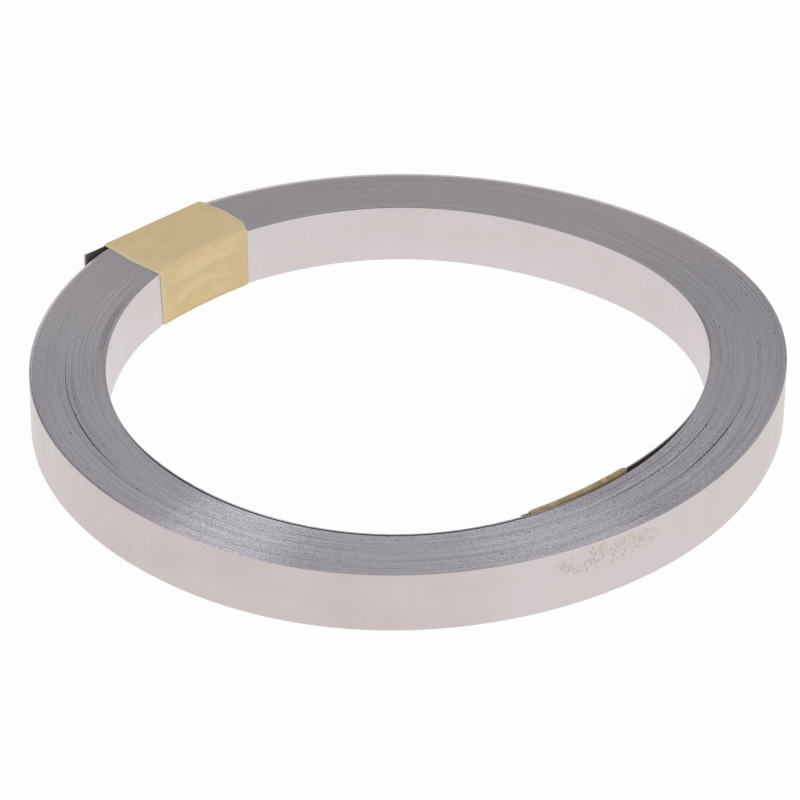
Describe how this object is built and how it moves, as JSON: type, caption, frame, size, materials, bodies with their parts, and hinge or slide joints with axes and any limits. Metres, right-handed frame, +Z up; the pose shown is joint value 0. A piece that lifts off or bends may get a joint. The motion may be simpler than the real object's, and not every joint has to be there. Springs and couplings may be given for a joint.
{
  "type": "nickel strip",
  "caption": "Flat coil of thin nickel strip for joining battery cells, bound by masking tape at its outer end, with tape folded round the loose inner end.",
  "frame": {"origin": "on the coil's axis, at the level of the floor that the coil lies on", "axes": "+Z up along the coil's axis, +Y away from the viewer, +X to the viewer's right"},
  "size_m": [0.0714, 0.0714, 0.0063],
  "materials": {
    "nickel": "rolled, satin, with slit edges",
    "masking_tape": "matt creped paper"
  },
  "bodies": {
    "root": {"strip_coil": "nickel", "band_tape": "masking_tape", "inner_end_tape": "masking_tape"}
  },
  "joints": []
}
